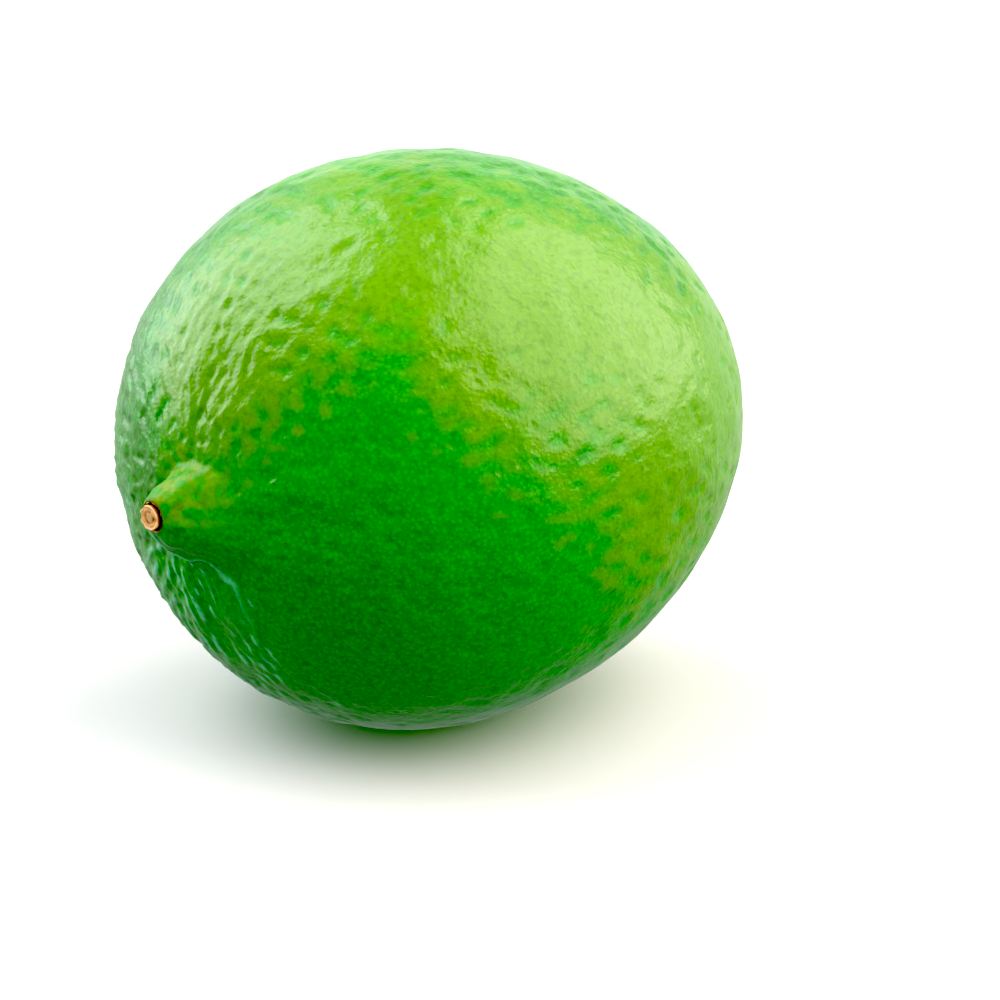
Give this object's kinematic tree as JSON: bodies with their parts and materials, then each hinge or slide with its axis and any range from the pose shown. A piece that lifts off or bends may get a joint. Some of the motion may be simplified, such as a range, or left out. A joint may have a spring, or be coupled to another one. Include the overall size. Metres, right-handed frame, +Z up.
{
  "type": "lime",
  "caption": "Whole round green lime with a short domed neck, a woody stem button and a low nipple, lying on its side.",
  "frame": {"origin": "centre of the small flat spot that the fruit rests on", "axes": "+X along the core from the stem end to the blossom end, +Z up"},
  "size_m": [0.0661, 0.0531, 0.0523],
  "materials": {
    "rind": "waxy, semi-gloss, finely pebbled lime rind, vivid green",
    "stem_wood": "dry, matt, tan to orange-brown stalk wood"
  },
  "bodies": {
    "root": {"fruit": "rind", "stem_button": "stem_wood"}
  },
  "joints": []
}
